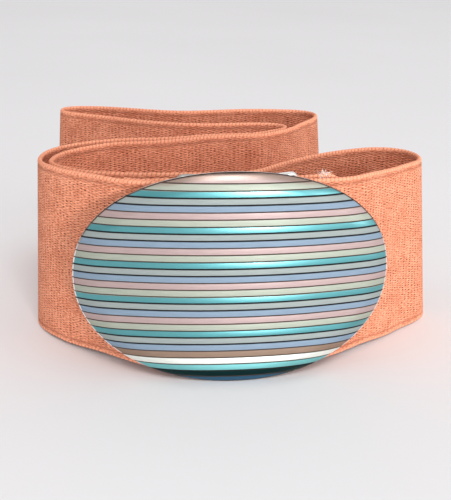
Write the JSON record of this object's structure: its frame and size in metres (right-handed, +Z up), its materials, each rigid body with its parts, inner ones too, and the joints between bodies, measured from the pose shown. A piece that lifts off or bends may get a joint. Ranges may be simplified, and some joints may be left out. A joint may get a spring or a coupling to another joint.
{
  "type": "wide stretch belt with an oval plate buckle",
  "caption": "Wide stretch belt of woven peach elastic, folded up and standing on edge, with a bowed oval striped metal buckle plate held by narrow wire loops.",
  "frame": {"origin": "centre of the bounding box at the ground that the folded belt stands on", "axes": "+X to the viewer's right along the striped plate, -Y the way the plate faces, +Z up along the standing band"},
  "size_m": [0.1236, 0.1156, 0.0552],
  "materials": {
    "elastic": "matte woven",
    "plate": "anodised satin",
    "hardware": "nickel plated"
  },
  "bodies": {
    "root": {"elastic_band": "elastic", "buckle_plate": "plate", "buckle_frame": "hardware", "end_loop": "hardware"}
  },
  "joints": []
}
